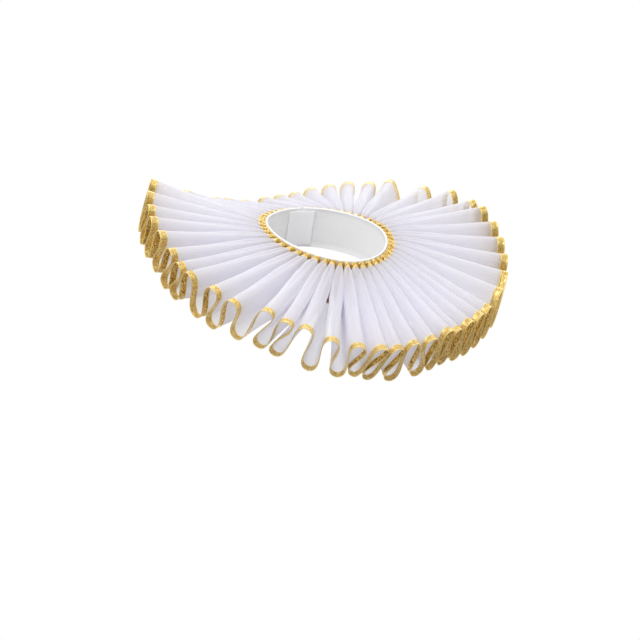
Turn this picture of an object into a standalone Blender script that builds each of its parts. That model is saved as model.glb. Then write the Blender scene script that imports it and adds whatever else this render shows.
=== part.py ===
"""A figure-eight ruff collar, in the hollow form that it has when it is worn.

One long strip of stiff organza, with a gold ribbon along each long edge, is gathered into
tall folds and sewn round a plain neckband that closes at the centre back.

+Z is up and the wearer faces -Y, with the wearer's left hand at +X. The origin is the middle
of the neck opening, halfway up the neckband. An azimuth is 0 at the centre front and grows
towards the wearer's left. Lengths are in metres and angles are in degrees.
"""

from collections import namedtuple

import bmesh
import bpy
import numpy as np

MM = 0.001

# The neck ring: an oval that is deepest from front to back, tipped down at the front.
NECK_RADIUS = 69.5 * MM
NECK_FORWARD = 1.5 * MM
NECK_OVAL = 3.3 * MM
RING_TILT = 21.5

# The neckband, open at the centre back, and the tab that lies behind its opening.
BAND_HEIGHT = 48 * MM
BAND_WALL = 1.5 * MM
BAND_END = 179.0
TAB_HALF_ANGLE = 13.0
TAB_HEIGHT = 42 * MM
TAB_WALL = 1.0 * MM

# The gathered strip: its cut width, its ribbons and its walls.
STRIP_WIDTH = 138.5 * MM
RIBBON_WIDTH = 8.5 * MM
ORGANZA_WALL = 1.0 * MM
RIBBON_WALL = 1.2 * MM
SEAM_GAP = 0.3 * MM
# The ribbons' seams and the seam on the neckband are wider, because the folds cross them askew.
RIBBON_SEAM_GAP = 0.4 * MM
NECK_SEAM_GAP = 0.5 * MM

# The folds. A round is the half width of the loop at a crest or a trough, and a clearance is
# the least room on each side of it. Squareness flattens the top of a fold: the tight folds
# at the neck are squarer than those at the rim. A bulge below zero draws a wide fold's leg in.
Edge = namedtuple("Edge", "radius fold_height round clearance squareness")
NECK_EDGE = Edge(NECK_RADIUS, 44 * MM, 2.8 * MM, 1.4 * MM, 0.11)
RIM_EDGE = Edge(207 * MM, 45 * MM, 8 * MM, 1.8 * MM, 0.0)
LEAST_BULGE = -1 * MM
# How far the rim as a whole lies to the wearer's right of the neck.
RIM_ASIDE = 1.2 * MM
# Where a leg between a crest and a trough has its columns, as shares of the leg.
LEG_STATIONS = (0.09, 0.25, 0.5, 0.75, 0.91)

# How the collar lies round the wearer. Rise lifts the neck ring out of its plane, in
# millimetres, and droop is the slope of the ruffle below that plane: the shoulders hold the
# sides up, and the chest and the back let it fall. Tip leans the folds at the rim, so that
# their crests reach further out than their troughs.
Section = namedtuple("Section", "azimuth rise droop tip")
SECTIONS = (
    Section(-180, -3.0, 19, 0),
    Section(-150, -2.5, 9, 0),
    Section(-120, 0.5, -8, 1),
    Section(-90, 3.0, -5, 4),
    Section(-60, 3.0, 4, 3),
    Section(-30, 1.0, 8, 0),
    Section(0, -2.0, 13, 0),
    Section(30, -1.5, 7, 0),
    Section(60, 1.0, 1.5, 0),
    Section(90, 2.0, -8.5, 0),
    Section(120, 0.0, -4, 0),
    Section(150, -2.0, 7, 0),
)

# The folds from the centre back, round the wearer's right and the front, to the centre back.
# A fold is a crest and the trough after it. Neck and rim are the crest's azimuth on each
# edge, lean turns the trough at the rim from halfway between two crests, and the lifts raise
# the crest and the trough at the rim, in millimetres.
Fold = namedtuple("Fold", "neck rim lean crest_lift trough_lift")
FOLDS = (
    Fold(-172, -177, -0.5, -2, 0),
    Fold(-165, -171, -1.0, -1, 1),
    Fold(-157, -166, -1.5, -2, 0),
    Fold(-150, -160, -1.0, -3, -1),
    Fold(-142, -153, -2.0, 0, 1),
    Fold(-135, -146, -1.5, -1, 0),
    Fold(-127, -139, -2.0, 0, 0),
    Fold(-120, -131, -2.5, -1, -1),
    Fold(-112, -122, -2.5, 4, 1),
    Fold(-104, -109, -4.0, 3, 0),
    Fold(-96, -100, -3.5, 2.5, 0),
    Fold(-88, -94, -3.0, 0, 1),
    Fold(-80, -85, -3.5, 2, 1),
    Fold(-71, -77, -3.5, 0, -3),
    Fold(-62, -72, -3.0, -4, -2.5),
    Fold(-53, -67, -0.5, -3.5, -1),
    Fold(-45, -57, -2.5, 0.5, -1.5),
    Fold(-38, -50, -2.5, -2.5, 1),
    Fold(-30, -39, -3.5, 4, 2),
    Fold(-23, -33, -4.5, -1.5, -0.5),
    Fold(-18, -27, -1.5, -1, -5.5),
    Fold(-11, -19, -1.0, -6, -4),
    Fold(-5, -11, -3.0, -5.5, 1),
    Fold(2, -4, -5.0, -4.5, -1),
    Fold(9, 1, -2.5, -4.5, -2),
    Fold(16, 6, 0.5, -0.5, -1),
    Fold(22, 12, -0.5, -0.5, 1.5),
    Fold(29, 18, -2.0, 2, 3),
    Fold(35, 22, -0.5, -3, 0),
    Fold(41, 27, -1.0, -1.5, -2),
    Fold(47, 33, -1.0, -2.5, -1),
    Fold(53, 38, -2.0, -2, 0),
    Fold(60, 47, -5.5, 2.5, 2),
    Fold(67, 58, 3.0, 1, 0),
    Fold(74, 67, 0.0, 0, 0),
    Fold(81, 75, -0.5, 0, 1),
    Fold(88, 83, 0.0, 0.5, 0),
    Fold(94, 92, -1.0, 2.5, 0),
    Fold(101, 99, -0.5, 1, -1),
    Fold(108, 110, -1.5, 2.5, 0),
    Fold(114, 122, -2.0, -1, 0),
    Fold(121, 135, -1.0, 3, 1),
    Fold(128, 142, -1.0, 0, 0),
    Fold(135, 149, -0.5, 1, 0),
    Fold(142, 155, -1.0, 0, 0),
    Fold(149, 161, -0.5, 0, -1),
    Fold(156, 166, 0.0, -1, 0),
    Fold(163, 171, -0.5, 0, 0),
    Fold(170, 176, 0.0, 0, 0),
)
# The strip ends in a trough on each side of the centre back.
FIRST_TROUGH = (-176, -179)
LAST_TROUGH = (174, 178)

# Azimuth steps round the neckband and its tab, and rows across the organza.
BAND_STEPS = 96
TAB_STEPS = 8
ORGANZA_ROWS = 3

TILT = np.radians(RING_TILT)
RING_UP = np.array((0, -np.sin(TILT), np.cos(TILT)))
RING_FRONT = np.array((0, -np.cos(TILT), -np.sin(TILT)))
RING_LEFT = np.array((1.0, 0, 0))

# A plain finish for each piece: colour, roughness and metallic value.
Finish = namedtuple("Finish", "colour roughness metallic")
FINISHES = {
    "organza": Finish((0.90, 0.90, 0.93, 1), 0.5, 0),
    "gold_ribbon": Finish((0.75, 0.52, 0.18, 1), 0.4, 0.8),
    "satin_tape": Finish((0.92, 0.92, 0.92, 1), 0.4, 0),
    "hook_and_loop": Finish((0.85, 0.85, 0.85, 1), 0.9, 0),
}


def outward(azimuth):
    """The unit direction away from the neck at each azimuth, in the ring's plane."""
    turn = np.radians(azimuth)[..., None]
    return np.cos(turn) * RING_FRONT + np.sin(turn) * RING_LEFT


def section_value(azimuth, column):
    """A column of SECTIONS at each azimuth, on a smooth closed curve through its rows."""
    values = np.array([getattr(row, column) for row in SECTIONS], float)
    place = (azimuth - SECTIONS[0].azimuth) / (360 / len(SECTIONS))
    row = np.floor(place).astype(int)
    t = place - row
    before, start, end, after = (values[(row + step) % len(SECTIONS)] for step in (-1, 0, 1, 2))
    slope_in = (end - before) / 2
    slope_out = (after - start) / 2
    return (
        start * (2 * t**3 - 3 * t**2 + 1)
        + slope_in * (t**3 - 2 * t**2 + t)
        + end * (3 * t**2 - 2 * t**3)
        + slope_out * (t**3 - t**2)
    )


def neck_radius(azimuth):
    """The radius of the neckband's mid wall: an oval, moved a little to the front."""
    turn = np.radians(azimuth)
    return NECK_RADIUS + NECK_FORWARD * np.cos(turn) + NECK_OVAL * np.cos(2 * turn)


def on_neck(azimuth, outset, height):
    """A point beside the neckband, outset from its mid wall and at a height on it."""
    radius = neck_radius(azimuth) + outset
    lift = section_value(azimuth, "rise") * MM + height
    return radius[..., None] * outward(azimuth) + lift[..., None] * RING_UP


def on_rim(azimuth, height):
    """A point on the strip's outer edge, at a height from the middle of the ruffle there."""
    droop = np.radians(section_value(azimuth, "droop"))[..., None]
    tip = droop + np.radians(section_value(azimuth, "tip"))[..., None]
    away = outward(azimuth)
    run = np.cos(droop) * away - np.sin(droop) * RING_UP
    rise = np.sin(tip) * away + np.cos(tip) * RING_UP
    start = on_neck(azimuth, 0, np.zeros_like(azimuth))
    return start + STRIP_WIDTH * run + height[..., None] * rise - RIM_ASIDE * RING_LEFT


def turning_points():
    """Azimuth at the neck and the rim, and rim lift, of each trough and crest in turn."""
    neck, rim, lift = [FIRST_TROUGH[0]], [FIRST_TROUGH[1]], [0.0]
    for fold, following in zip(FOLDS, FOLDS[1:] + (None,)):
        neck += [fold.neck, (fold.neck + following.neck) / 2 if following else LAST_TROUGH[0]]
        middle = (fold.rim + following.rim) / 2 + fold.lean if following else LAST_TROUGH[1]
        rim += [fold.rim, middle]
        lift += [fold.crest_lift * MM, fold.trough_lift * MM]
    return np.array(neck), np.array(rim), np.array(lift)


def leg_rounds(place, edge):
    """The round at the start and the end of each leg, kept clear of the next loop along."""
    to_next = np.append(place[2:] - place[:-2], np.inf) / 2 - edge.clearance
    to_last = np.insert(place[2:] - place[:-2], 0, np.inf) / 2 - edge.clearance
    return np.minimum(edge.round, to_next), np.minimum(edge.round, to_last)


def wave(azimuths, lifts, edge, stations):
    """One edge of the strip: the azimuth and height of each station on each leg.

    A leg runs between a crest and a trough. Its place along the edge is the straight way
    from one to the other plus a sine that swells into a loop at each end. Its height is a
    cosine, made squarer by its third harmonic.
    """
    place = np.radians(azimuths) * edge.radius
    half = edge.fold_height / 2
    heights = np.where(np.arange(len(place)) % 2 == 1, half, -half) + lifts
    round_start, round_end = leg_rounds(place, edge)
    way = np.diff(place)[:, None]
    bulge_start = np.maximum(round_start[:, None] - way / 4, LEAST_BULGE)
    bulge_end = np.maximum(round_end[:, None] - way / 4, LEAST_BULGE)
    t = np.asarray(stations)[None, :]
    bulge = bulge_start + (bulge_end - bulge_start) * t * t * (3 - 2 * t)
    along = place[:-1, None] + way * t + bulge * np.sin(2 * np.pi * t)
    middle = (heights[:-1] + heights[1:])[:, None] / 2
    swing = (heights[:-1] - heights[1:])[:, None] / 2
    fall = (1 + edge.squareness) * np.cos(np.pi * t) - edge.squareness * np.cos(3 * np.pi * t)
    return np.degrees(along / edge.radius).ravel(), (middle + swing * fall).ravel()


def strip_edges(stations):
    """The strip's neck edge and rim edge, as two arrays of points that face each other."""
    neck, rim, lift = turning_points()
    neck_azimuth, neck_height = wave(neck, 0 * lift, NECK_EDGE, stations)
    rim_azimuth, rim_height = wave(rim, lift, RIM_EDGE, stations)
    seam = BAND_WALL / 2 + NECK_SEAM_GAP
    return on_neck(neck_azimuth, seam, neck_height), on_rim(rim_azimuth, rim_height)


def finish_material(name):
    finish = FINISHES[name]
    material = bpy.data.materials.get(name)
    if material is None:
        material = bpy.data.materials.new(name)
        material.use_nodes = True
        shader = material.node_tree.nodes["Principled BSDF"]
        shader.inputs["Base Color"].default_value = finish.colour
        shader.inputs["Roughness"].default_value = finish.roughness
        shader.inputs["Metallic"].default_value = finish.metallic
        material.diffuse_color = finish.colour
    return material


def cloth(collection, name, points, wall, material):
    """A cloth piece: a flat cut sheet whose vertices are placed, then given its wall.

    The points are an array of rows across the cut, each with a point for every column.
    """
    rows, columns = points.shape[:2]
    sheet = bmesh.new()
    bmesh.ops.create_grid(sheet, x_segments=columns - 1, y_segments=rows - 1, size=0.5)
    for vertex in sheet.verts:
        column = round((vertex.co.x + 0.5) * (columns - 1))
        row = round((vertex.co.y + 0.5) * (rows - 1))
        vertex.co = points[row, column]
    bmesh.ops.recalc_face_normals(sheet, faces=sheet.faces)
    mesh = bpy.data.meshes.new(name)
    sheet.to_mesh(mesh)
    sheet.free()
    mesh.shade_smooth()
    mesh.materials.append(finish_material(material))
    piece = bpy.data.objects.new(name, mesh)
    collection.objects.link(piece)
    thickness = piece.modifiers.new("wall", "SOLIDIFY")
    thickness.thickness = wall
    thickness.offset = 0
    thickness.use_even_offset = True
    return piece


def across(neck_edge, rim_edge, start, end, rows):
    """Rows of points on the strip, between two distances from its neck edge."""
    share = np.linspace(start, end, rows + 1) / STRIP_WIDTH
    return neck_edge + share[:, None, None] * (rim_edge - neck_edge)


def make_strip(collection):
    """The organza, and the gold ribbon along each of its long edges."""
    neck_edge, rim_edge = strip_edges(LEG_STATIONS)
    inner_seam = RIBBON_WIDTH
    outer_seam = STRIP_WIDTH - RIBBON_WIDTH
    pieces = (
        (
            "neck_ribbon",
            0,
            inner_seam - RIBBON_SEAM_GAP / 2,
            1,
            RIBBON_WALL,
            "gold_ribbon",
        ),
        (
            "organza_ruffle",
            inner_seam + RIBBON_SEAM_GAP / 2,
            outer_seam - RIBBON_SEAM_GAP / 2,
            ORGANZA_ROWS,
            ORGANZA_WALL,
            "organza",
        ),
        (
            "rim_ribbon",
            outer_seam + RIBBON_SEAM_GAP / 2,
            STRIP_WIDTH,
            1,
            RIBBON_WALL,
            "gold_ribbon",
        ),
    )
    for name, start, end, rows, wall, material in pieces:
        cloth(collection, name, across(neck_edge, rim_edge, start, end, rows), wall, material)


def make_neckband(collection):
    """The plain band round the neck, and the tab that closes it at the centre back."""
    heights = np.array((-0.5, 0.5))
    azimuth = np.linspace(-BAND_END, BAND_END, BAND_STEPS + 1)
    band = [on_neck(azimuth, 0, np.full_like(azimuth, h * BAND_HEIGHT)) for h in heights]
    cloth(collection, "neckband", np.array(band), BAND_WALL, "satin_tape")
    azimuth = 180 + np.linspace(-TAB_HALF_ANGLE, TAB_HALF_ANGLE, TAB_STEPS + 1)
    inset = -(BAND_WALL / 2 + SEAM_GAP + TAB_WALL / 2)
    tab = [on_neck(azimuth, inset, np.full_like(azimuth, h * TAB_HEIGHT)) for h in heights]
    cloth(collection, "back_tab", np.array(tab), TAB_WALL, "hook_and_loop")


def main():
    for item in list(bpy.data.objects):
        bpy.data.objects.remove(item)
    collection = bpy.data.collections.new("ruff_collar")
    bpy.context.scene.collection.children.link(collection)
    make_strip(collection)
    make_neckband(collection)


main()
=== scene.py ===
"""The looks of a figure-eight ruff collar: sheer organza folds between two gold ribbons, sewn
round a satin neckband.

+Z is up and the wearer faces -Y, with the wearer's left hand at +X. The origin is the middle
of the neck opening. An azimuth is 0 at the centre front and grows towards the wearer's left.
Lengths are in metres and angles are in degrees, apart from the tables' millimetres.
"""

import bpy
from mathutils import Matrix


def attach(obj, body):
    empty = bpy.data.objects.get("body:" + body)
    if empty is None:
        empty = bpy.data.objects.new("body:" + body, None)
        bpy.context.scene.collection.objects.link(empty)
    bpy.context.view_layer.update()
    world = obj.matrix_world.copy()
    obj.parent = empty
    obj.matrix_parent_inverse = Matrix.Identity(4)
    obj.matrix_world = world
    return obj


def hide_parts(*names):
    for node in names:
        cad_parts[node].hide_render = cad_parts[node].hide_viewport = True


bl_info = {
    "name": "Ruff Collar",
    "version": (1, 0, 0),
    "blender": (4, 5, 0),
    "location": "3D View > Sidebar > Ruff Collar",
    "description": "Dresses a figure-eight ruff collar in organza, gold ribbon and satin",
    "category": "Object",
}

from collections import namedtuple

import bpy
import numpy as np
from mathutils import Vector

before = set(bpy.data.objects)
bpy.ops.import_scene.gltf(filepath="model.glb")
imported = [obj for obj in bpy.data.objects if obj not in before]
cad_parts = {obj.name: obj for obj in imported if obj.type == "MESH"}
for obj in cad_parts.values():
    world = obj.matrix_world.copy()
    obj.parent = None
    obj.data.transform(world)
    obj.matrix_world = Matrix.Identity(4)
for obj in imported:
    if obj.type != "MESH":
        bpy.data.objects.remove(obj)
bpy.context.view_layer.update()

MM = 0.001
BODY = "root"

# The neck ring: an oval that is deepest from front to back, tipped down at the front.
NECK_RADIUS = 69.5 * MM
NECK_FORWARD = 1.5 * MM
NECK_OVAL = 3.3 * MM
RING_TILT = 21.5

# The neckband and its tab.
BAND_HEIGHT = 48 * MM
BAND_WALL = 1.5 * MM
BAND_END = 179.0
TAB_HALF_ANGLE = 13.0
TAB_HEIGHT = 42 * MM
TAB_WALL = 1.0 * MM

# The gathered strip.
STRIP_WIDTH = 138.5 * MM
RIBBON_WIDTH = 8.5 * MM
SEAM_GAP = 0.3 * MM
NECK_SEAM_GAP = 0.5 * MM
TUCK = 1.2 * MM

# The folds lie where the solids under the cloth have them, with the loops at the neck a
# little taller and closer together.
Edge = namedtuple("Edge", "radius fold_height round clearance squareness")
NECK_EDGE = Edge(NECK_RADIUS, 47 * MM, 3.5 * MM, 0.8 * MM, 0.11)
RIM_EDGE = Edge(207 * MM, 45 * MM, 8 * MM, 1.8 * MM, 0.0)
LEAST_BULGE = -1 * MM
RIM_ASIDE = 1.2 * MM

# How the collar lies round the wearer: the rise of the neck ring in millimetres, the droop of
# the ruffle, and the tip that leans the folds out at the rim.
Section = namedtuple("Section", "azimuth rise droop tip")
SECTIONS = tuple(Section(*row) for row in (
    (-180, -3, 19, 0),
    (-150, -2.5, 9, 0),
    (-120, 0.5, -8, 1),
    (-90, 3, -5, 4),
    (-60, 3, 4, 3),
    (-30, 1, 8, 0),
    (0, -2, 13, 0),
    (30, -1.5, 7, 0),
    (60, 1, 1.5, 0),
    (90, 2, -8.5, 0),
    (120, 0, -4, 0),
    (150, -2, 7, 0),
))

# A fold is a crest and the trough after it: the crest's azimuth at the neck and the rim, the
# lean of the trough at the rim, and the lifts of crest and trough there in millimetres.
Fold = namedtuple("Fold", "neck rim lean crest_lift trough_lift")
FOLDS = tuple(Fold(*row) for row in (
    (-172, -177, -0.5, -2, 0),
    (-165, -171, -1, -1, 1),
    (-157, -166, -1.5, -2, 0),
    (-150, -160, -1, -3, -1),
    (-142, -153, -2, 0, 1),
    (-135, -146, -1.5, -1, 0),
    (-127, -139, -2, 0, 0),
    (-120, -131, -2.5, -1, -1),
    (-112, -122, -2.5, 4, 1),
    (-104, -109, -4, 3, 0),
    (-96, -100, -3.5, 2.5, 0),
    (-88, -94, -3, 0, 1),
    (-80, -85, -3.5, 2, 1),
    (-71, -77, -3.5, 0, -3),
    (-62, -72, -3, -4, -2.5),
    (-53, -67, -0.5, -3.5, -1),
    (-45, -57, -2.5, 0.5, -1.5),
    (-38, -50, -2.5, -2.5, 1),
    (-30, -39, -3.5, 4, 2),
    (-22, -33, -4.5, -1.5, -0.5),
    (-16.5, -27, -1.5, -1, -5.5),
    (-9.8, -19, -1, -6, -4),
    (-5, -11, -3, -5.5, 1),
    (2, -4, -5, -4.5, -1),
    (9, 1, -2.5, -4.5, -2),
    (16, 6, 0.5, -0.5, -1),
    (22, 12, -0.5, -0.5, 1.5),
    (29, 18, -2, 2, 3),
    (35, 22, -0.5, -3, 0),
    (41, 27, -1, -1.5, -2),
    (47, 33, -1, -2.5, -1),
    (53, 38, -2, -2, 0),
    (60, 47, -5.5, 2.5, 2),
    (67, 58, 3, 1, 0),
    (74, 67, 0, 0, 0),
    (81, 75, -0.5, 0, 1),
    (88, 83, 0, 0.5, 0),
    (94, 92, -1, 2.5, 0),
    (101, 99, -0.5, 1, -1),
    (108, 110, -1.5, 2.5, 0),
    (114, 122, -2, -1, 0),
    (121, 135, -1, 3, 1),
    (128, 142, -1, 0, 0),
    (135, 149, -0.5, 1, 0),
    (142, 155, -1, 0, 0),
    (149, 161, -0.5, 0, -1),
    (156, 166, 0, -1, 0),
    (163, 171, -0.5, 0, 0),
    (170, 176, 0, 0, 0),
))
FIRST_TROUGH = (-176, -179)
LAST_TROUGH = (174, 178)

# Mesh steps: along a leg of a fold, across the organza, round the neckband and along the tab.
LEG_STEPS = 24
ORGANZA_ROWS = 36
BAND_STEPS = 360
TAB_STEPS = 32
# Points of a section: round a ribbon's cord and across its web, round a tape's roll and up its
# wall. The cord's points turn by less than half a circle, to where they meet the web.
CORD_POINTS = 6
WEB_POINTS = 5
ROLL_POINTS = 13
WALL_POINTS = 9
CORD_TURN = 0.85 * np.pi

# The creases in the organza: how many on a leg of a fold, and the seed of their places. The
# ranges are of a crease's middle, drift and width along the leg, and of its middle and reach
# across the organza, as shares.
CREASES = 3
CREASE_SEED = 11
CREASE_MIDDLE = (0.2, 0.8)
CREASE_DRIFT = (-0.2, 0.2)
CREASE_WIDTH = (0.04, 0.09)
CREASE_PLACE = (0.1, 0.7)
CREASE_REACH = (0.25, 0.7)
# Where the folds lean together, as shares of the way across the organza: fully from the first
# to the second, and not at all from the third.
PINCH_SHARES = (0.06, 0.2, 0.78)

# The ribbon's metal threads: how far apart they cross along it and across it.
CROSSING_LENGTH = 1.4 * MM
CROSSING_WIDTH = 0.9 * MM
# Between which distances from the ribbon's edge its cord ends, in millimetres. Between which
# slants the ribbon is painted pale as a painted sheen, where 0 is square on and 1 is edge on,
# and how pale it gets.
CORD_END = (0.8, 1.1)
PAINTED_SHEEN_SLANTS = (0.62, 0.9)
PAINTED_SHEEN_MOST = 0.7
# How far the ribbon's upper side is painted paler, as painted light from above, at the neck and
# at the rim. The neck gets less of it, as painted shade.
NECK_PAINTED_LIGHT_SHARE = 0.05
RIM_PAINTED_LIGHT_SHARE = 0.4

# The threads that show as tacks inside the neckband: their heights on it and their sizes. A
# tack's ends are thinner than its middle and sunk into the band, in shares of its radius.
TACK_ROWS = (-14 * MM, 0.0, 14 * MM)
TACK_LENGTH = 3.2 * MM
TACK_RADIUS = 0.28 * MM
TACK_BOW = 1.2
TACK_SUNK = 0.8
TACK_END = 0.25
TACK_RINGS = 9
TACK_SIDES = 6

# Rows of machine stitches on the tapes: how far from each edge, and their sizes in millimetres.
# The dip that a row pulls fades by this rate for each millimetre.
STITCH_LINE = 3.0
PULL_FADE = 0.9
TAPE_STITCH = {"Pitch": 2.8, "Length": 2.1, "Thickness": 0.4}
RIBBON_STITCH = {"Line": 1.7, "Pitch": 3.2, "Length": 2.4, "Thickness": 0.4}

# The camera: how far off it stands, how it is turned and where the neck ring shows.
VIEW_AZIMUTH = -24.0
VIEW_ELEVATION = 3.0
VIEW_DISTANCE = 2.6
FOCAL_PIXELS = 2340.0
PICTURE_PIXELS = 640.0
SENSOR_WIDTH = 36.0
RING_PIXEL = (326.0, 231.4)

TILT = np.radians(RING_TILT)
RING_UP = np.array((0, -np.sin(TILT), np.cos(TILT)))
RING_FRONT = np.array((0, -np.cos(TILT), -np.sin(TILT)))
RING_LEFT = np.array((1.0, 0, 0))


# ------------------------ where the cloth lies


def outward(azimuth):
    """The unit direction away from the neck at each azimuth, in the ring's plane."""
    turn = np.radians(azimuth)[..., None]
    return np.cos(turn) * RING_FRONT + np.sin(turn) * RING_LEFT


def section_value(azimuth, column):
    """A column of SECTIONS at each azimuth, on a closed cubic curve through its rows.

    The curve's slope at a row is half the difference of the rows beside it.
    """
    values = np.array([getattr(row, column) for row in SECTIONS], float)
    place = (azimuth - SECTIONS[0].azimuth) / (360 / len(SECTIONS))
    row = np.floor(place).astype(int)
    t = place - row
    before, start, end, after = (values[(row + step) % len(SECTIONS)] for step in (-1, 0, 1, 2))
    slope_in = (end - before) / 2
    slope_out = (after - start) / 2
    return (
        start * (2 * t**3 - 3 * t**2 + 1)
        + slope_in * (t**3 - 2 * t**2 + t)
        + end * (3 * t**2 - 2 * t**3)
        + slope_out * (t**3 - t**2)
    )


def on_neck(azimuth, outset, height):
    """A point beside the neckband: the oval's radius plus the outset, and a height up it."""
    turn = np.radians(azimuth)
    radius = NECK_RADIUS + NECK_FORWARD * np.cos(turn) + NECK_OVAL * np.cos(2 * turn) + outset
    lift = section_value(azimuth, "rise") * MM + height
    return radius[..., None] * outward(azimuth) + lift[..., None] * RING_UP


def on_rim(azimuth, height):
    """A point on the strip's outer edge: the strip's width out along the drooped direction,
    and a height at right angles to it, or leant out by the tip."""
    droop = np.radians(section_value(azimuth, "droop"))[..., None]
    tip = droop + np.radians(section_value(azimuth, "tip"))[..., None]
    away = outward(azimuth)
    run = np.cos(droop) * away - np.sin(droop) * RING_UP
    rise = np.sin(tip) * away + np.cos(tip) * RING_UP
    start = on_neck(azimuth, 0, np.zeros_like(azimuth))
    return start + STRIP_WIDTH * run + height[..., None] * rise - RIM_ASIDE * RING_LEFT


def turning_points():
    """Azimuth at the neck and the rim, and rim lift, of each trough and crest in turn."""
    neck, rim, lift = [FIRST_TROUGH[0]], [FIRST_TROUGH[1]], [0.0]
    for fold, following in zip(FOLDS, FOLDS[1:] + (None,)):
        neck += [fold.neck, (fold.neck + following.neck) / 2 if following else LAST_TROUGH[0]]
        middle = (fold.rim + following.rim) / 2 + fold.lean if following else LAST_TROUGH[1]
        rim += [fold.rim, middle]
        lift += [fold.crest_lift * MM, fold.trough_lift * MM]
    return np.array(neck), np.array(rim), np.array(lift)


def leg_rounds(place, edge):
    """The round at the start and the end of each leg, kept clear of the next loop along."""
    to_next = np.append(place[2:] - place[:-2], np.inf) / 2 - edge.clearance
    to_last = np.insert(place[2:] - place[:-2], 0, np.inf) / 2 - edge.clearance
    return np.minimum(edge.round, to_next), np.minimum(edge.round, to_last)


def join_legs(values):
    """One run of stations from the runs of the legs, whose ends meet."""
    return np.append(values[:, :-1].ravel(), values[-1, -1])


def wave(azimuths, lifts, edge):
    """One edge of the strip: the azimuth and height of every station along it.

    Along a leg, t goes from 0 to 1. The place is the straight way from one turning point to
    the next plus a bulge times the sine of 2 pi t, and the height is the cosine of pi t,
    made squarer by the cosine of 3 pi t.
    """
    place = np.radians(azimuths) * edge.radius
    half = edge.fold_height / 2
    heights = np.where(np.arange(len(place)) % 2 == 1, half, -half) + lifts
    round_start, round_end = leg_rounds(place, edge)
    way = np.diff(place)[:, None]
    bulge_start = np.maximum(round_start[:, None] - way / 4, LEAST_BULGE)
    bulge_end = np.maximum(round_end[:, None] - way / 4, LEAST_BULGE)
    t = np.linspace(0, 1, LEG_STEPS + 1)[None, :]
    bulge = bulge_start + (bulge_end - bulge_start) * t * t * (3 - 2 * t)
    along = place[:-1, None] + way * t + bulge * np.sin(2 * np.pi * t)
    middle = (heights[:-1] + heights[1:])[:, None] / 2
    swing = (heights[:-1] - heights[1:])[:, None] / 2
    fall = (1 + edge.squareness) * np.cos(np.pi * t) - edge.squareness * np.cos(3 * np.pi * t)
    return np.degrees(join_legs(along) / edge.radius), join_legs(middle + swing * fall)


def strip_edges():
    """The strip's neck edge and rim edge, as two arrays of points that face each other."""
    neck, rim, lift = turning_points()
    neck_azimuth, neck_height = wave(neck, 0 * lift, NECK_EDGE)
    rim_azimuth, rim_height = wave(rim, lift, RIM_EDGE)
    seam = BAND_WALL / 2 + NECK_SEAM_GAP
    return on_neck(neck_azimuth, seam, neck_height), on_rim(rim_azimuth, rim_height)


def unit(vectors):
    return vectors / np.linalg.norm(vectors, axis=-1, keepdims=True)


def run_length(points):
    """The distance along a row of points, from its first point to each of them."""
    steps = np.linalg.norm(np.diff(points, axis=0), axis=-1)
    return np.insert(np.cumsum(steps), 0, 0)


# ------------------------ meshes


def grid_faces(rows, columns, closed_rows=False):
    """The quads of a grid of points, counted row by row."""
    row = np.arange(rows if closed_rows else rows - 1)[:, None]
    column = np.arange(columns - 1)[None, :]
    below = row * columns + column
    above = (row + 1) % rows * columns + column
    return np.stack([below, below + 1, above + 1, above], axis=-1).reshape(-1, 4)


def new_object(name, data):
    """An object in the scene."""
    made = bpy.data.objects.new(name, data)
    bpy.context.scene.collection.objects.link(made)
    return made


def new_piece(name, points, faces, cut, material):
    """A piece from its points, its faces and each point's place on the flat cut cloth."""
    mesh = bpy.data.meshes.new(name)
    mesh.from_pydata(points.reshape(-1, 3).tolist(), [], faces)
    uv = mesh.uv_layers.new(name="cut")
    corner = np.empty(len(mesh.loops), np.int32)
    mesh.loops.foreach_get("vertex_index", corner)
    uv.data.foreach_set("uv", cut.reshape(-1, 2)[corner].astype(np.float32).ravel())
    mesh.shade_smooth()
    mesh.materials.append(material)
    piece = new_object(name, mesh)
    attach(piece, BODY)
    return piece


def profile_strip(base, across, normal, profile, length):
    """Points and cut places of a closed profile carried along a run of stations.

    Each profile point lies its first number across the ribbon and its second number off the
    ribbon's face. The rows go round the profile and the columns along the run.
    """
    x, off = profile[:, 0, None, None], profile[:, 1, None, None]
    points = base + x * across + off * normal
    cut = np.stack(np.broadcast_arrays(length[None, :], profile[:, 0, None]), axis=-1)
    return points, cut


def tube_faces(rows, columns):
    """The quads of a tube whose rows go round it, and a face over each end."""
    first = range(0, rows * columns, columns)
    last = range(rows * columns - 1, 0, -columns)
    return grid_faces(rows, columns, closed_rows=True).tolist() + [list(first), list(last)]


def corded_profile(width, web, cord):
    """A ribbon's section: a flat web with a round cord along each edge.

    It is half as thick as the web, or as the circle of the cord where that stands higher.
    """
    edge = cord - cord * np.cos(np.linspace(0, CORD_TURN, CORD_POINTS))
    web_x = np.linspace(edge[-1], width - edge[-1], WEB_POINTS)[1:-1]
    x = np.concatenate([edge, web_x, width - edge[::-1]])
    near = np.minimum(x, width - x)
    circle = np.sqrt(np.maximum(cord**2 - (near - cord) ** 2, 0))
    half = np.where(near < 2 * cord, np.maximum(circle, np.where(near > cord, web / 2, 0)), web / 2)
    top = np.stack([x, half], axis=-1)
    bottom = np.stack([x, -half], axis=-1)[::-1][1:-1]
    return np.concatenate([top, bottom])


# ------------------------ node helpers


def add_node(tree, kind, inputs=None, **settings):
    """A node with its settings, and its inputs set to values or linked to sockets."""
    made = tree.nodes.new("ShaderNode" + kind)
    for name, value in settings.items():
        setattr(made, name, value)
    for key, value in (inputs or {}).items():
        socket = made.inputs[key]
        if isinstance(value, bpy.types.NodeSocket):
            tree.links.new(value, socket)
        else:
            socket.default_value = value
    return made


def math_node(tree, operation, *values, clamp=False):
    """The result of a Math node on values or sockets."""
    node = add_node(tree, "Math", dict(enumerate(values)), operation=operation)
    node.use_clamp = clamp
    return node.outputs[0]


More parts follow.
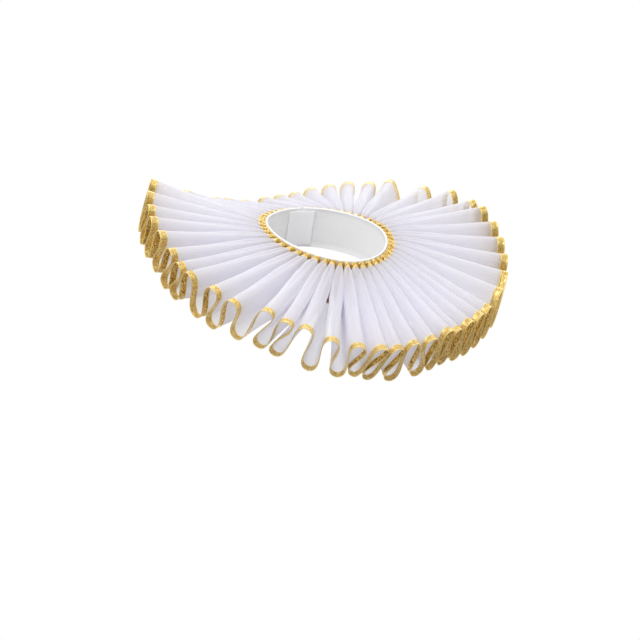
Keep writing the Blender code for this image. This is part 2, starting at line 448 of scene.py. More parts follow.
def scaled(tree, value, factor, offset):
    """A value times a factor, plus an offset."""
    return math_node(tree, "MULTIPLY_ADD", value, factor, offset)


def mix_colour(tree, factor, first, second):
    """The first colour, turned into the second by the factor."""
    inputs = {0: factor, 6: first, 7: second}
    return add_node(tree, "Mix", inputs, data_type="RGBA").outputs[2]


def ramp(tree, factor, *stops):
    """A colour ramp through (place, colour) stops."""
    node = add_node(tree, "ValToRGB", {"Fac": factor})
    elements = node.color_ramp.elements
    for index, (place, colour) in enumerate(stops):
        element = elements[index] if index < 2 else elements.new(place)
        element.position = place
        element.color = colour
    return node.outputs["Color"]


def new_group(name, inputs, outputs):
    """An empty shader node group with float inputs and their defaults, and its outputs."""
    group = bpy.data.node_groups.new(name, "ShaderNodeTree")
    group.interface.new_socket("Cut", in_out="INPUT", socket_type="NodeSocketVector")
    for label, default in inputs.items():
        socket = group.interface.new_socket(label, in_out="INPUT", socket_type="NodeSocketFloat")
        socket.default_value = default
    for label in outputs:
        group.interface.new_socket(label, in_out="OUTPUT", socket_type="NodeSocketFloat")
    return group, group.nodes.new("NodeGroupInput"), group.nodes.new("NodeGroupOutput")


def use_group(tree, name, make, cut, values):
    """A shared effect at a place on the cut cloth, with its inputs set to values."""
    group = bpy.data.node_groups.get(name) or make(name)
    return add_node(tree, "Group", {"Cut": cut} | values, node_tree=group)


def map_range(tree, value, place, result, interpolation="SMOOTHSTEP"):
    """A value that turns from the first result to the second between two places."""
    inputs = {"Value": value, "From Min": place[0], "From Max": place[1]}
    inputs |= {"To Min": result[0], "To Max": result[1]}
    return add_node(tree, "MapRange", inputs, interpolation_type=interpolation).outputs[0]


def noise(tree, place, scale, roughness):
    """A soft noise over a plane."""
    inputs = {"Vector": place, "Scale": scale, "Detail": 2.0, "Roughness": roughness}
    return add_node(tree, "TexNoise", inputs, noise_dimensions="2D").outputs[0]


def cut_place(tree):
    """The place on the cut cloth, in millimetres: X along the piece and Y across it."""
    uv = add_node(tree, "UVMap", uv_map="cut")
    inputs = {0: uv.outputs[0], "Scale": 1 / MM}
    return add_node(tree, "VectorMath", inputs, operation="SCALE").outputs[0]


# ------------------------ shared effects


def make_weave(name):
    """A plain weave: a thread each way, rounded across and hidden where it dips under.

    Height is a sine along the cloth times a sine across it. Slub is a soft noise drawn out
    along the threads that cross the cloth.
    """
    defaults = {"Warp pitch": 0.4, "Weft pitch": 0.4, "Slub length": 12.0, "Slub width": 0.8}
    group, given, out = new_group(name, defaults, ("Height", "Slub"))
    place = add_node(group, "SeparateXYZ", {0: given.outputs["Cut"]})
    waves = []
    for axis, pitch in (("X", "Warp pitch"), ("Y", "Weft pitch")):
        turns = math_node(group, "DIVIDE", place.outputs[axis], given.outputs[pitch])
        waves.append(math_node(group, "SINE", math_node(group, "MULTIPLY", turns, 2 * np.pi)))
    crossing = math_node(group, "MULTIPLY", *waves)
    height = scaled(group, crossing, 0.5, 0.5)
    group.links.new(height, out.inputs["Height"])
    spans = {
        axis: math_node(group, "DIVIDE", place.outputs[axis], given.outputs[size])
        for axis, size in (("X", "Slub width"), ("Y", "Slub length"))
    }
    stretched = add_node(group, "CombineXYZ", spans).outputs[0]
    group.links.new(noise(group, stretched, 1.0, 0.55), out.inputs["Slub"])
    return group


def make_stitches(name):
    """A row of stitches: 1 on the thread and 0 beside it, at a distance across the cloth.

    A stitch is a dash whose round ends come from the length of the vector to its middle. Pull
    is the dip of the cloth along the row, which fades away to both sides.
    """
    defaults = {"Line": 2.0, "Pitch": 3.0, "Length": 2.2, "Thickness": 0.4}
    group, given, out = new_group(name, defaults, ("Thread", "Pull"))
    place = add_node(group, "SeparateXYZ", {0: given.outputs["Cut"]})
    half_pitch = math_node(group, "MULTIPLY", given.outputs["Pitch"], 0.5)
    along = math_node(group, "PINGPONG", place.outputs["X"], half_pitch)
    half_length = math_node(group, "MULTIPLY", given.outputs["Length"], 0.5)
    past = math_node(group, "MAXIMUM", math_node(group, "SUBTRACT", along, half_length), 0.0)
    off = math_node(group, "SUBTRACT", place.outputs["Y"], given.outputs["Line"])
    squares = [math_node(group, "POWER", span, 2.0) for span in (past, off)]
    distance = math_node(group, "SQRT", math_node(group, "ADD", *squares))
    share = math_node(group, "DIVIDE", distance, given.outputs["Thickness"])
    thread = math_node(group, "SUBTRACT", 1.0, share, clamp=True)
    group.links.new(thread, out.inputs["Thread"])
    fall = math_node(group, "MULTIPLY", math_node(group, "ABSOLUTE", off), -PULL_FADE)
    group.links.new(math_node(group, "EXPONENT", fall), out.inputs["Pull"])
    return group


def woven(tree, cut, warp, weft, slub_length, slub_width):
    """The slub and the height of a plain weave, with its sizes in millimetres."""
    sizes = {"Warp pitch": warp, "Weft pitch": weft, "Slub length": slub_length, "Slub width": slub_width}
    weave = use_group(tree, "plain weave", make_weave, cut, sizes)
    return weave.outputs["Slub"], weave.outputs["Height"]


def stitched(tree, cut, sizes):
    """The thread and the pull of a row of stitches, with its sizes in millimetres."""
    row = use_group(tree, "stitch row", make_stitches, cut, sizes)
    return row.outputs["Thread"], row.outputs["Pull"]


def with_stitches(tree, cut, relief, width, thread_rise, pull_dip):
    """A relief with a row of stitches by each edge of a tape, and the dips they pull in it."""
    for line in (STITCH_LINE, width / MM - STITCH_LINE):
        thread, pull = stitched(tree, cut, TAPE_STITCH | {"Line": line})
        relief = scaled(tree, thread, thread_rise, relief)
        if pull_dip:
            relief = scaled(tree, pull, -pull_dip, relief)
    return relief


# ------------------------ materials


def new_material(name):
    """A material without nodes, and its empty tree."""
    material = bpy.data.materials.new(name)
    material.use_nodes = True
    material.node_tree.nodes.clear()
    return material, material.node_tree


def surfaced(material, surface):
    """The material, with a shader of its tree as its surface."""
    add_node(material.node_tree, "OutputMaterial", {"Surface": surface})
    return material


def bumped(tree, relief, strength, distance):
    """The normal of a relief whose unit is the distance."""
    inputs = {"Height": relief, "Strength": strength, "Distance": distance}
    return add_node(tree, "Bump", inputs).outputs[0]


def cloth_shader(tree, colour, normal, inputs):
    """A Principled shader with a colour, a normal and its other inputs."""
    inputs = {"Base Color": colour, "Normal": normal} | inputs
    return add_node(tree, "BsdfPrincipled", inputs).outputs[0]


def organza_material(colours, sizes):
    """Sheer organza: as much of it is open as between its threads, and less at a slant.

    The share of light that passes is the open share to the power of one over the cosine of
    the slant. The threads cover a little more where they are dense and where they cross.
    """
    material, tree = new_material("white organza")
    cut = cut_place(tree)
    slub, height = woven(tree, cut, warp=0.7, weft=0.7, slub_length=90.0, slub_width=1.1)
    by_slub, by_height, least_cosine, slub_rise = 0.16, 0.06, 0.12, 1.5
    least_cover = sizes.organza_cover - (by_slub + by_height) / 2
    cover = scaled(tree, slub, by_slub, least_cover)
    cover = scaled(tree, height, by_height, cover)
    facing = add_node(tree, "LayerWeight", {"Blend": 0.5}).outputs["Facing"]
    cosine = math_node(tree, "MAXIMUM", math_node(tree, "SUBTRACT", 1.0, facing), least_cosine)
    open_share = math_node(tree, "SUBTRACT", 1.0, cover)
    passed = math_node(tree, "POWER", open_share, math_node(tree, "DIVIDE", 1.0, cosine))
    colour = mix_colour(tree, slub, colours.organza_shade, colours.organza)
    normal = bumped(tree, scaled(tree, slub, slub_rise, height), 0.2, 0.05 * MM)
    lustre = {"Roughness": 0.5, "Specular IOR Level": 0.3, "Sheen Weight": 0.15}
    threads = cloth_shader(tree, colour, normal, lustre)
    glow = add_node(tree, "BsdfTranslucent", {"Color": colour, "Normal": normal}).outputs[0]
    cloth = add_node(tree, "MixShader", {0: 0.5, 1: threads, 2: glow}).outputs[0]
    clear = add_node(tree, "BsdfTransparent").outputs[0]
    surface = add_node(tree, "MixShader", {0: passed, 1: cloth, 2: clear}).outputs[0]
    return surfaced(material, surface)


def metal_crossings(tree, place):
    """The weave of flat metal threads: a random glint for each crossing and its roundness,
    which the ribbon paints into its colour as glints and as shade between crossings.

    The crossings lie in rows across the ribbon, each row half a crossing along from the last.
    """
    row_place = math_node(tree, "DIVIDE", place.outputs["Y"], CROSSING_WIDTH / MM)
    row = math_node(tree, "FLOOR", row_place)
    along = math_node(tree, "DIVIDE", place.outputs["X"], CROSSING_LENGTH / MM)
    column_place = scaled(tree, row, 0.5, along)
    column = math_node(tree, "FLOOR", column_place)
    cell = add_node(tree, "CombineXYZ", {"X": column, "Y": row}).outputs[0]
    speckle = add_node(tree, "TexWhiteNoise", {"Vector": cell}, noise_dimensions="2D")
    rounds = [
        math_node(tree, "SINE", math_node(tree, "MULTIPLY", math_node(tree, "FRACT", at), np.pi))
        for at in (column_place, row_place)
    ]
    return speckle.outputs["Value"], math_node(tree, "MULTIPLY", *rounds)


def ribbon_material(name, colours, painted_light_share):
    """Gold ribbon: metal threads with painted glints and painted shade between them, inside two pale corded
    edges.

    The cut place runs across its upper side and back across its under side. The upper side
    is painted paler, as painted light from above, by the share given, and is smoother. At a
    slant the colour is painted paler still, as a painted sheen.
    """
    material, tree = new_material(name)
    cut = cut_place(tree)
    place = add_node(tree, "SeparateXYZ", {0: cut})
    width = RIBBON_WIDTH / MM
    under = math_node(tree, "GREATER_THAN", place.outputs["Y"], width)
    back = math_node(tree, "SUBTRACT", 2 * width, place.outputs["Y"])
    across = math_node(tree, "MINIMUM", place.outputs["Y"], back)
    glint, rounding = metal_crossings(tree, place)
    # The colour gets painted glints from each crossing's random value, and painted shade in the gaps
    # between crossings from their roundness.
    by_rounding, by_glint, by_patch = 0.25, 0.75, 0.1
    painted_glint_and_shade = math_node(tree, "MULTIPLY", glint, by_glint)
    painted_glint_and_shade = scaled(tree, rounding, by_rounding, painted_glint_and_shade)
    patch = scaled(tree, noise(tree, cut, 0.2, 0.6), by_patch, -by_patch / 2)
    painted_glint_and_shade = math_node(tree, "ADD", painted_glint_and_shade, patch)
    ends = ((0.12, colours.gold_painted_shade), (0.8, colours.gold_painted_glint))
    gold = ramp(tree, painted_glint_and_shade, *ends, (0.4, colours.gold), (0.6, colours.gold))
    edge = math_node(tree, "MINIMUM", across, math_node(tree, "SUBTRACT", width, across))
    corded = map_range(tree, edge, CORD_END, (1.0, 0.0), "LINEAR")
    thread, _ = stitched(tree, cut, RIBBON_STITCH)
    # The upper side is painted paler, as painted light from above.
    face = scaled(tree, under, -painted_light_share, painted_light_share)
    facing = add_node(tree, "LayerWeight", {"Blend": 0.5}).outputs["Facing"]
    # Painted sheen: the colour turns paler at a slant.
    aslant = map_range(tree, facing, PAINTED_SHEEN_SLANTS, (0.0, PAINTED_SHEEN_MOST))
    colour = mix_colour(tree, face, gold, colours.gold_painted_lit_side)
    colour = mix_colour(tree, math_node(tree, "MULTIPLY", thread, 0.4), colour, colours.gold_edge)
    colour = mix_colour(tree, aslant, colour, colours.gold_painted_sheen)
    colour = mix_colour(tree, corded, colour, colours.gold_edge)
    relief = scaled(tree, glint, 0.8, rounding)
    relief = scaled(tree, thread, 0.8, relief)
    relief = math_node(tree, "MULTIPLY", relief, math_node(tree, "SUBTRACT", 1.0, face))
    lustre = {
        "Metallic": scaled(tree, corded, -0.3, 0.8),
        "Roughness": scaled(tree, glint, -0.22, 0.55),
        "Coat Weight": 0.25,
        "Coat Roughness": 0.3,
        "Sheen Weight": 0.2,
        "Sheen Roughness": 0.35,
        "Sheen Tint": (1.0, 0.86, 0.52, 1.0),
    }
    surface = cloth_shader(tree, colour, bumped(tree, relief, 0.7, 0.15 * MM), lustre)
    return surfaced(material, surface)


def satin_material(colours):
    """White satin tape: smooth long floats, a soft lustre and a row of stitches by each edge."""
    material, tree = new_material("white satin")
    cut = cut_place(tree)
    slub, height = woven(tree, cut, warp=0.5, weft=1.4, slub_length=20.0, slub_width=0.7)
    colour = mix_colour(tree, slub, colours.satin_shade, colours.satin)
    relief = with_stitches(tree, cut, height, BAND_HEIGHT, thread_rise=4.0, pull_dip=6.0)
    lustre = {
        "Roughness": 0.34,
        "Sheen Weight": 0.3,
        "Subsurface Weight": 0.6,
        "Subsurface Radius": (1.0, 1.0, 1.0),
        "Subsurface Scale": 2 * MM,
    }
    surface = cloth_shader(tree, colour, bumped(tree, relief, 0.5, 0.05 * MM), lustre)
    return surfaced(material, surface)


def tab_material(colours):
    """Hook-and-loop tape: a matt ribbed weave."""
    material, tree = new_material("white closing tape")
    cut = cut_place(tree)
    slub, height = woven(tree, cut, warp=0.9, weft=1.8, slub_length=6.0, slub_width=1.2)
    colour = mix_colour(tree, slub, colours.satin_shade, colours.satin)
    ribs = math_node(tree, "ADD", height, slub)
    relief = with_stitches(tree, cut, ribs, TAB_HEIGHT, thread_rise=2.0, pull_dip=0.0)
    normal = bumped(tree, relief, 0.6, 0.1 * MM)
    surface = cloth_shader(tree, colour, normal, {"Roughness": 0.8, "Sheen Weight": 0.4})
    return surfaced(material, surface)


def thread_material(colours):
    """White sewing thread, twisted along its length, with painted shade in the grooves of its twist."""
    material, tree = new_material("white thread")
    place = add_node(tree, "SeparateXYZ", {0: cut_place(tree)})
    turn = scaled(tree, place.outputs["X"], 9.0, place.outputs["Y"])
    twist = math_node(tree, "SINE", turn)
    # Painted shade: the thread is darker in the grooves of its twist.
    shade = scaled(tree, twist, 0.5, 0.5)
    colour = mix_colour(tree, shade, colours.satin_shade, colours.satin)
    normal = bumped(tree, twist, 0.6, 0.06 * MM)
    surface = cloth_shader(tree, colour, normal, {"Roughness": 0.6, "Sheen Weight": 0.3})
    return surfaced(material, surface)


def floor_material(colours):
    """A plain pale studio floor that fades away towards its rim."""
    material, tree = new_material("studio floor")
    pale = {"Base Color": colours.floor, "Roughness": 0.7}
    shader = add_node(tree, "BsdfPrincipled", pale).outputs[0]
    place = add_node(tree, "TexCoord").outputs["Object"]
    level = add_node(tree, "VectorMath", {0: place, 1: (1, 1, 0)}, operation="MULTIPLY")
    length = add_node(tree, "VectorMath", {0: level.outputs[0]}, operation="LENGTH")
    radius = length.outputs["Value"]
    faded = map_range(tree, radius, (FLOOR_FADE, FLOOR_RADIUS), (0.0, 1.0))
    clear = add_node(tree, "BsdfTransparent").outputs[0]
    surface = add_node(tree, "MixShader", {0: faded, 1: shader, 2: clear}).outputs[0]
    return surfaced(material, surface)


# ------------------------ settings


def colour_property(name, description, default):
    """A colour that the panel lists."""
    return bpy.props.FloatVectorProperty(
        name=name, description=description, default=default, subtype="COLOR", size=4, min=0, max=1
    )


def length_property(name, description, default):
    """A length that the panel lists."""
    return bpy.props.FloatProperty(name=name, description=description, default=default, unit="LENGTH")


class RUFF_PG_sizes(bpy.types.PropertyGroup):
    """The fine sizes of the cloth, which the solids don't hold."""

    organza_cover: bpy.props.FloatProperty(
        name="Organza cover",
        description="How much of the light the organza's threads stop, seen square on",
        default=0.54,
        subtype="FACTOR",
        min=0.1,
        max=1,
    )
    crease_height: length_property(
        "Crease height", "How far the deepest creases stand off the organza", 0.45 * MM
    )
    pinch: length_property(
        "Pinch", "The most that a fold swells to touch the next one just outside the neck", 3 * MM
    )
    pinch_gap: length_property("Pinch gap", "The gap that is left where two folds touch", 0.5 * MM)
    billow: length_property(
        "Billow", "How far a leg of a fold swells between the neck and the rim", 0.8 * MM
    )
    ribbon_web: length_property(
        "Ribbon thickness", "Thickness of the ribbon between its corded edges", 0.5 * MM
    )
    ribbon_cord: length_property(
        "Ribbon cord radius", "Radius of the cord along each edge of the ribbon", 0.5 * MM
    )
    band_roll: length_property("Neckband roll", "Radius of the rolled edges of the neckband", 1.05 * MM)
    band_rise: length_property(
        "Neckband rise", "How far the roll at the top of the neckband stands above its solid", 0.7 * MM
    )
    light_power: bpy.props.FloatProperty(
        name="Light power", description="Scale of all the studio lights", default=1.0, min=0
    )


class RUFF_PG_colours(bpy.types.PropertyGroup):
    """The colours of the cloth and the floor."""

    organza: colour_property("Organza", "Organza where its threads are dense", (0.95, 0.943, 0.982, 1))
    organza_shade: colour_property(
        "Organza shade", "Organza where its threads are thin", (0.918, 0.91, 0.952, 1)
    )
    gold: colour_property("Gold", "Middle tone of the ribbon", (0.68, 0.375, 0.028, 1))
    # Painted shade and painted glints of the ribbon's metal threads.
    gold_painted_shade: colour_property("Dark gold", "The ribbon's threads in shade", (0.15, 0.08, 0.006, 1))
    gold_painted_glint: colour_property("Light gold", "Glints on the ribbon's threads", (1.0, 0.82, 0.34, 1))
    # The painted light on the ribbon's upper side.
    gold_painted_lit_side: colour_property("Gold face", "The ribbon's upper side", (1.0, 0.79, 0.34, 1))
    # The ribbon's painted sheen at a slant.
    gold_painted_sheen: colour_property("Gold aslant", "The ribbon seen at a slant", (1.0, 0.86, 0.56, 1))
    gold_edge: colour_property("Gold edge", "The ribbon's corded edges and stitches", (0.96, 0.74, 0.24, 1))
    satin: colour_property("Satin", "Satin, tape and thread", (0.96, 0.96, 0.965, 1))
    satin_shade: colour_property("Satin shade", "Between the satin's threads", (0.88, 0.88, 0.90, 1))
    floor: colour_property("Floor", "Studio floor", (0.86, 0.86, 0.87, 1))


# ------------------------ pieces


def valley_gaps(points):
    """The gap from each point of the organza to the leg that it faces.

    The upper half of a leg faces the leg on the other side of the trough, and its lower half
    the leg on the other side of the crest. The facing point is as far from that turn.
    """
    columns = points.shape[1]
    column = np.arange(columns)
    turn = np.round(column / LEG_STEPS / 2 - 0.5).astype(int) * 2 + 1
    low = np.round(column / LEG_STEPS / 2).astype(int) * 2
    upper = np.abs(column - turn * LEG_STEPS) < np.abs(column - low * LEG_STEPS)
    mirror = np.where(upper, low, turn) * LEG_STEPS * 2 - column
    there = (mirror >= 0) & (mirror < columns)
    gaps = np.linalg.norm(points - points[:, np.clip(mirror, 0, columns - 1)], axis=-1)
    return np.where(there, gaps, 0)


def organza_relief(sizes, share, points):
    """How far the organza stands off its ruled form, for each row and column.

    It is the sum of a swell that makes the folds touch near the neck, a billow, which is the
    sine of pi across times the squared sine of pi along a leg, and creases. The swell is the
    sine of 2 pi along a leg times half the gap beside it. A crease is a bell curve along the
    leg that drifts as it goes out, and it fades in and out on the way.
    """
    legs = 2 * len(FOLDS)
    draw = np.random.default_rng(CREASE_SEED)
    column = np.arange(points.shape[1])
    leg = np.minimum(column // LEG_STEPS, legs - 1)
    t = (column - leg * LEG_STEPS) / LEG_STEPS
    s = share[:, None]
    swell = draw.uniform(-sizes.billow, sizes.billow, legs)[leg]
    relief = np.sin(np.pi * s) * swell * np.sin(np.pi * t) ** 2
    towards_next = np.where(leg % 2 == 0, 1, -1) * np.sin(2 * np.pi * t)
    room = np.clip((valley_gaps(points) - sizes.pinch_gap) / 2, 0, sizes.pinch)
    first, second, last = PINCH_SHARES
    rising = np.clip(s / first, 0, 1)
    falling = 0.5 + 0.5 * np.cos(np.pi * np.clip((s - second) / (last - second), 0, 1))
    relief = relief + towards_next * room * rising * falling
    for _ in range(CREASES):
        centre = draw.uniform(*CREASE_MIDDLE, legs)[leg]
        drift = draw.uniform(*CREASE_DRIFT, legs)[leg]
        width = draw.uniform(*CREASE_WIDTH, legs)[leg]
        height = draw.uniform(-1, 1, legs)[leg] * sizes.crease_height
        middle = draw.uniform(*CREASE_PLACE, legs)[leg]
        reach = draw.uniform(*CREASE_REACH, legs)[leg]
        bell = np.exp(-(((t - centre - drift * (s - 0.5)) / width) ** 2))
        fade = np.exp(-(((s - middle) / reach) ** 2)) * np.sin(np.pi * s)
        relief = relief + height * bell * fade * np.minimum(1, 6 * t * (1 - t))
    return relief


class RUFF_OT_organza(bpy.types.Operator):
    """The sheer ruffle: a ruled sheet from the neck edge to the rim edge, with creases."""

    bl_idname = "ruff.organza"
    bl_label = "Make organza ruffle"

    def execute(self, context):
        sizes = context.scene.ruff_sizes
        neck_edge, rim_edge = strip_edges()
        distance = np.linspace(RIBBON_WIDTH - TUCK, STRIP_WIDTH - RIBBON_WIDTH + TUCK, ORGANZA_ROWS + 1)
        points = neck_edge + (distance / STRIP_WIDTH)[:, None, None] * (rim_edge - neck_edge)
        along = np.gradient(points, axis=1)
        out = np.gradient(points, axis=0)
        normal = unit(np.cross(along, out))
        share = np.linspace(0, 1, ORGANZA_ROWS + 1)
        points = points + organza_relief(sizes, share, points)[..., None] * normal
        length = (run_length(neck_edge) + run_length(rim_edge)) / 2
        cut = np.stack(np.broadcast_arrays(length[None, :], distance[:, None]), axis=-1)
        faces = grid_faces(*points.shape[:2])[:, ::-1]
        material = organza_material(context.scene.ruff_colours, sizes)
        piece = new_piece("organza_folds", points, faces.tolist(), cut, material)
        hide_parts("organza_ruffle")
        return {"FINISHED"}


class RUFF_OT_ribbons(bpy.types.Operator):
    """The two gold ribbons: a corded section carried along each edge of the strip."""

    bl_idname = "ruff.ribbons"
    bl_label = "Make gold ribbons"

    def execute(self, context):
        sizes = context.scene.ruff_sizes
        neck_edge, rim_edge = strip_edges()
        profile = corded_profile(RIBBON_WIDTH, sizes.ribbon_web, sizes.ribbon_cord)
        out = unit(rim_edge - neck_edge)
        # The neck ribbon gets little of the painted light from above, as painted shade at the neck.
        ribbons = (
            ("gold_neck_braid", "neck_ribbon", RIBBON_WIDTH, -1, NECK_PAINTED_LIGHT_SHARE),
            ("gold_rim_braid", "rim_ribbon", STRIP_WIDTH - RIBBON_WIDTH, 1, RIM_PAINTED_LIGHT_SHARE),
        )
        for name, node, seam, way, painted_light_share in ribbons:
            material = ribbon_material(name.replace("_", " "), context.scene.ruff_colours, painted_light_share)
            base = neck_edge + seam / STRIP_WIDTH * (rim_edge - neck_edge)
            across = way * out
            normal = unit(np.cross(np.gradient(base, axis=0), across))
            points, cut = profile_strip(base, across, normal, profile, run_length(base))
            under = way * profile[:, 1] > 0
            cut[under, :, 1] = 2 * RIBBON_WIDTH - cut[under, :, 1]
            faces = tube_faces(*points.shape[:2])
            piece = new_piece(name, points, faces, cut, material)
            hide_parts(node)
        return {"FINISHED"}


def tape_profile(height, wall, roll):
    """A tape's section: a flat wall between two rolled edges, up its outer face and down its inner.

    A roll is the circle of its radius that the wall runs into. Where the radius is half the
    wall, the edge is simply round.
    """
    meet = np.arcsin(min(1, wall / 2 / roll))
    turn = np.linspace(meet, 2 * np.pi - meet, ROLL_POINTS)
    lower = np.stack([roll + roll * np.cos(turn), -roll * np.sin(turn)], axis=-1)
    upper = np.stack([height - roll - roll * np.cos(turn), roll * np.sin(turn)], axis=-1)
    rise = np.linspace(lower[-1, 0], upper[0, 0], WALL_POINTS)[1:-1]
    outer = np.stack([rise, np.full_like(rise, wall / 2)], axis=-1)
    inner = np.stack([rise[::-1], np.full_like(rise, -wall / 2)], axis=-1)
    return np.concatenate([lower, outer, upper, inner])


def tape_round_neck(name, azimuth, foot, profile, material):
    """A tape on edge round the neck, and its length. Its foot is an outset and a height."""
    outset, low = foot
    base = on_neck(azimuth, outset, np.full_like(azimuth, low))
    up = np.broadcast_to(RING_UP, base.shape)
    normal = outward(azimuth)
    run = run_length(base)
    points, cut = profile_strip(base, up, normal, profile, run)
    faces = tube_faces(*points.shape[:2])
    return new_piece(name, points, faces, cut, material), float(run[-1])


class RUFF_OT_neckband(bpy.types.Operator):
    """The satin neckband, a tape on edge round the oval of the neck."""

    bl_idname = "ruff.neckband"
    bl_label = "Make satin neckband"

    def execute(self, context):
        azimuth = np.linspace(-BAND_END, BAND_END, BAND_STEPS + 1)
        material = satin_material(context.scene.ruff_colours)
        sizes = context.scene.ruff_sizes
        profile = tape_profile(BAND_HEIGHT + sizes.band_rise, BAND_WALL, sizes.band_roll)
        foot = (0, -BAND_HEIGHT / 2)
        piece, length = tape_round_neck("satin_band", azimuth, foot, profile, material)
        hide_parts("neckband")
        return {"FINISHED"}


class RUFF_OT_closing_tab(bpy.types.Operator):
    """The tab of hook-and-loop tape inside the neckband at the centre back."""

    bl_idname = "ruff.closing_tab"
    bl_label = "Make closing tab"

    def execute(self, context):
        azimuth = 180 + np.linspace(-TAB_HALF_ANGLE, TAB_HALF_ANGLE, TAB_STEPS + 1)
        foot = (-(BAND_WALL / 2 + SEAM_GAP + TAB_WALL / 2), -TAB_HEIGHT / 2)
        material = tab_material(context.scene.ruff_colours)
        profile = tape_profile(TAB_HEIGHT, TAB_WALL, TAB_WALL / 2)
        piece, length = tape_round_neck("closing_tape", azimuth, foot, profile, material)
        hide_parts("back_tab")
        return {"FINISHED"}


class RUFF_OT_tacks(bpy.types.Operator):
    """The tacks inside the neckband that hold every fold to it: a short bowed thread each.

    A tack swells as a half ellipse, from its thin ends that are sunk into the band.
    """

    bl_idname = "ruff.tacks"
    bl_label = "Make sewing tacks"

    def execute(self, context):
        neck, _, _ = turning_points()
        middles = (neck[1:] + neck[:-1]) / 2
        middles = middles[np.abs(middles) < 180 - TAB_HALF_ANGLE - 1]
        turns = np.linspace(0, 2 * np.pi, TACK_SIDES + 1)[:-1]
        stations = np.linspace(-1, 1, TACK_RINGS)
        height, middle, turn, station = np.meshgrid(TACK_ROWS, middles, turns, stations, indexing="ij")
        swell = np.sqrt(1 - station**2)
        radius = TACK_RADIUS * (TACK_END + (1 - TACK_END) * swell)
        bow = TACK_RADIUS * (TACK_BOW * swell - TACK_SUNK)
        azimuth = middle + np.degrees(TACK_LENGTH / NECK_RADIUS) * station / 2
        outset = -BAND_WALL / 2 - bow + radius * np.cos(turn)
        points = on_neck(azimuth, outset, height + radius * np.sin(turn))
        cut = np.stack([station * TACK_LENGTH / 2, turn * MM], axis=-1)
        sides = tube_faces(TACK_SIDES, TACK_RINGS)
        starts = range(0, height.size, TACK_SIDES * TACK_RINGS)
        faces = [[start + corner for corner in face] for start in starts for face in sides]
        material = thread_material(context.scene.ruff_colours)
        new_piece("sewing_tacks", points, faces, cut, material)
        return {"FINISHED"}


# ------------------------ stage


def view_axes(azimuth, elevation):
    """The directions back to the camera, to its right and up, from its turn and height."""
    a, e = np.radians(azimuth), np.radians(elevation)
    back = np.array((np.sin(a) * np.cos(e), -np.cos(a) * np.cos(e), np.sin(e)))
    right = np.array((np.cos(a), np.sin(a), 0.0))
    return back, right, np.cross(back, right)


def add_camera():
    """The camera: its distance back from the ring's top, aimed so the ring shows off centre."""
    ring = RING_UP * BAND_HEIGHT / 2
    back, right, up = view_axes(VIEW_AZIMUTH, VIEW_ELEVATION)
    metre_per_pixel = VIEW_DISTANCE / FOCAL_PIXELS
    centre = PICTURE_PIXELS / 2
    aim = ring - (RING_PIXEL[0] - centre) * metre_per_pixel * right
    aim = aim + (RING_PIXEL[1] - centre) * metre_per_pixel * up
    data = bpy.data.cameras.new("camera")
    data.sensor_width = SENSOR_WIDTH
    data.lens = FOCAL_PIXELS / PICTURE_PIXELS * SENSOR_WIDTH
    data.clip_end = 50
    camera = new_object("camera", data)
    camera.location = ring + VIEW_DISTANCE * back
    camera.rotation_euler = (Vector(aim) - camera.location).to_track_quat("-Z", "Y").to_euler()
    bpy.context.scene.camera = camera


Lamp = namedtuple("Lamp", "name azimuth elevation distance size power")
LAMPS = (
    Lamp("key_light", -52, 38, 2.2, 2.0, 31),
    Lamp("side_light", 45, 35, 2.2, 1.6, 12),
    Lamp("top_light", -24, 80, 2.2, 1.2, 4),
    Lamp("back_light", 150, 42, 2.2, 1.6, 10),
)
FLOOR_DROP = 1.45
FLOOR_RADIUS = 3.0
FLOOR_FADE = 0.6
FLOOR_SIDES = 128
# How bright the surround looks, and how much light it sheds from below and from above, between
# two heights of its direction.
SKY_SEEN = 1.0
SKY_SHED = (0.44, 0.61)
SKY_RISE = (-0.4, 0.7)
# What shiny cloth mirrors: the dim room by the camera and the bright backdrop across from it,
# between two cosines of the angle from the way that the camera looks.
BACKDROP_MIRRORED = (0.2, 1.2)
BACKDROP_SPREAD = (-0.1, 0.6)


def add_lamp(lamp, power):
    """A square soft light that looks at the neck from its azimuth and elevation."""
    back, _, _ = view_axes(lamp.azimuth, lamp.elevation)
    data = bpy.data.lights.new(lamp.name, "AREA")
    data.size = lamp.size
    data.energy = lamp.power * power
    light = new_object(lamp.name, data)
    light.location = back * lamp.distance
    light.rotation_euler = Vector(-back).to_track_quat("-Z", "Y").to_euler()


def add_sky():
    """A white surround that is brighter to look at than it is as a light, and sheds more light
    from above than from below. Shiny cloth mirrors a bright backdrop behind the collar."""
    world = bpy.data.worlds.new("studio")
    world.use_nodes = True
    tree = world.node_tree
    tree.nodes.clear()
    path = add_node(tree, "LightPath")
    seen, mirrored = path.outputs["Is Camera Ray"], path.outputs["Is Glossy Ray"]
    way = add_node(tree, "TexCoord").outputs["Generated"]
    rise = add_node(tree, "SeparateXYZ", {0: way}).outputs["Z"]
    shed = map_range(tree, rise, SKY_RISE, SKY_SHED)
    back, _, _ = view_axes(VIEW_AZIMUTH, 0)
    ahead = add_node(tree, "VectorMath", {0: way, 1: tuple(-back)}, operation="DOT_PRODUCT")
    backdrop = map_range(tree, ahead.outputs["Value"], BACKDROP_SPREAD, BACKDROP_MIRRORED)
    strength = scaled(tree, mirrored, math_node(tree, "SUBTRACT", backdrop, shed), shed)
    strength = scaled(tree, seen, math_node(tree, "SUBTRACT", SKY_SEEN, shed), strength)
    glow = add_node(tree, "Background", {"Color": (1, 1, 1, 1), "Strength": strength})
    add_node(tree, "OutputWorld", {"Surface": glow.outputs[0]})
    bpy.context.scene.world = world


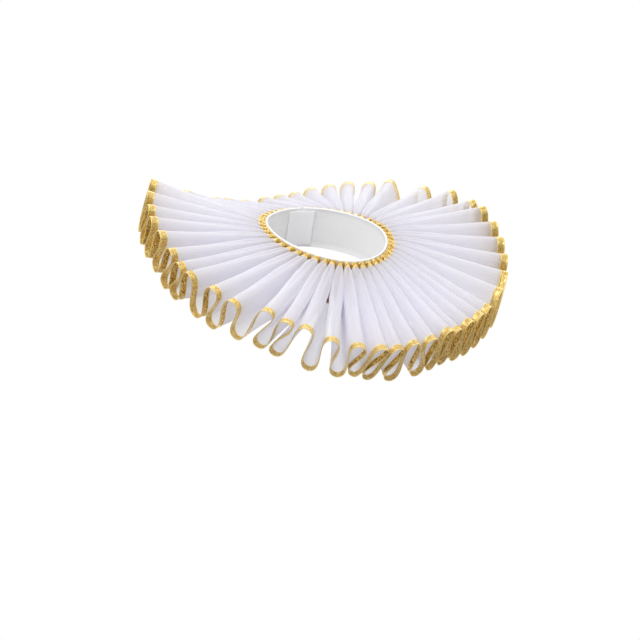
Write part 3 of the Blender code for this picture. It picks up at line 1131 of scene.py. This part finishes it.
class RUFF_OT_stage(bpy.types.Operator):
    """The camera, the soft lights, the white surround and the pale floor below."""

    bl_idname = "ruff.stage"
    bl_label = "Make studio"

    def execute(self, context):
        scene = context.scene
        add_camera()
        for lamp in LAMPS:
            add_lamp(lamp, scene.ruff_sizes.light_power)
        add_sky()
        scene.view_settings.view_transform = "Standard"
        scene.cycles.transparent_max_bounces = 48
        scene.cycles.diffuse_bounces = 10
        scene.cycles.max_bounces = 16
        turn = np.linspace(0, 2 * np.pi, FLOOR_SIDES + 1)[:-1]
        rim = FLOOR_RADIUS * np.stack([np.cos(turn), np.sin(turn), 0 * turn], axis=-1)
        rim[:, 2] = -FLOOR_DROP
        mesh = bpy.data.meshes.new("floor")
        mesh.from_pydata(rim.tolist(), [], [list(range(FLOOR_SIDES))])
        mesh.materials.append(floor_material(scene.ruff_colours))
        floor = new_object("floor", mesh)
        floor.visible_diffuse = False
        floor.visible_glossy = False
        return {"FINISHED"}


# ------------------------ the add-on


OPERATORS = (
    RUFF_OT_stage,
    RUFF_OT_organza,
    RUFF_OT_ribbons,
    RUFF_OT_neckband,
    RUFF_OT_closing_tab,
    RUFF_OT_tacks,
)


class RUFF_PT_panel(bpy.types.Panel):
    """Lists the sizes, the colours and the pieces."""

    bl_idname = "RUFF_PT_panel"
    bl_label = "Ruff Collar"
    bl_space_type = "VIEW_3D"
    bl_region_type = "UI"
    bl_category = "Ruff Collar"

    def draw(self, context):
        for settings in (context.scene.ruff_sizes, context.scene.ruff_colours):
            for name in settings.__annotations__:
                self.layout.prop(settings, name)
        for operator in OPERATORS:
            self.layout.operator(operator.bl_idname)


CLASSES = (RUFF_PG_sizes, RUFF_PG_colours, *OPERATORS, RUFF_PT_panel)


def register():
    for item in CLASSES:
        bpy.utils.register_class(item)
    bpy.types.Scene.ruff_sizes = bpy.props.PointerProperty(type=RUFF_PG_sizes)
    bpy.types.Scene.ruff_colours = bpy.props.PointerProperty(type=RUFF_PG_colours)


def unregister():
    del bpy.types.Scene.ruff_colours
    del bpy.types.Scene.ruff_sizes
    for item in reversed(CLASSES):
        bpy.utils.unregister_class(item)


def main():
    register()
    for operator in OPERATORS:
        group, name = operator.bl_idname.split(".")
        getattr(getattr(bpy.ops, group), name)()


if __name__ == "__main__":
    main()
